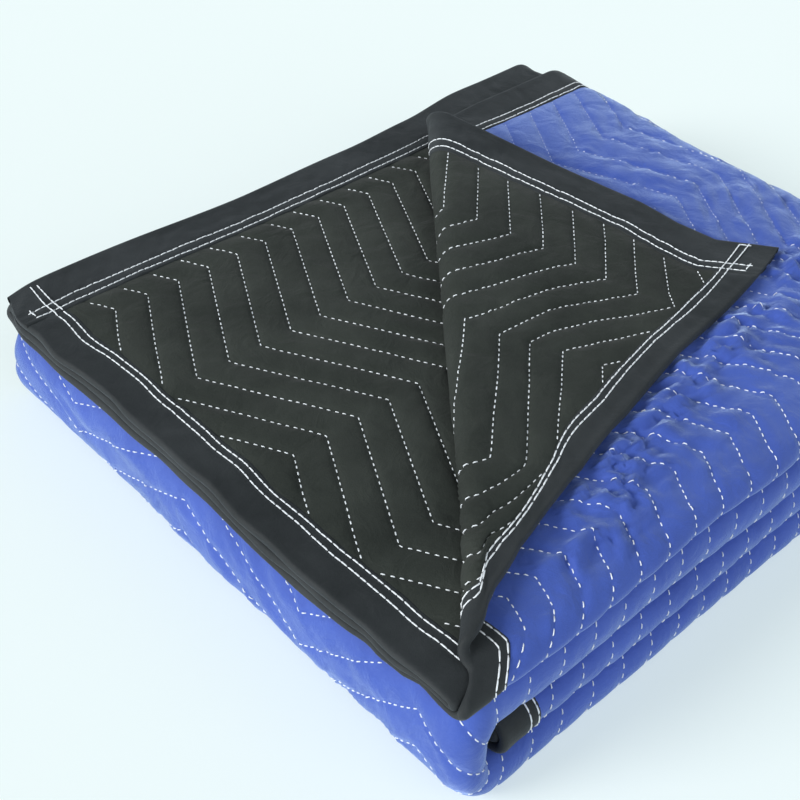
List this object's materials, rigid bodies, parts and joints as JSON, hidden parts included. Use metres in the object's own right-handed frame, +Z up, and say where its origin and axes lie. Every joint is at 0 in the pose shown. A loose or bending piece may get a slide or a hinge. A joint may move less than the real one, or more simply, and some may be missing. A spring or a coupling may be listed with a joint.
{
  "type": "moving blanket",
  "caption": "Quilted moving blanket with taped edges, folded into a flat stack, one corner turned back to show the dark underside.",
  "frame": {"origin": "middle of the bounding box at the floor", "axes": "+X from the end with the open bound ends towards the big turn, -Y towards the side with the four lengthwise folds, +Z up"},
  "size_m": [0.5814, 0.4654, 0.126],
  "materials": {
    "blue_cloth": "matte brushed cloth",
    "black_cloth": "matte brushed cloth",
    "black_tape": "smooth woven tape"
  },
  "bodies": {
    "root": {"blue_face": "blue_cloth", "black_back": "black_cloth", "binding_long_first": "black_tape", "binding_long_last": "black_tape", "binding_end_first": "black_tape", "binding_end_last": "black_tape"}
  },
  "joints": []
}
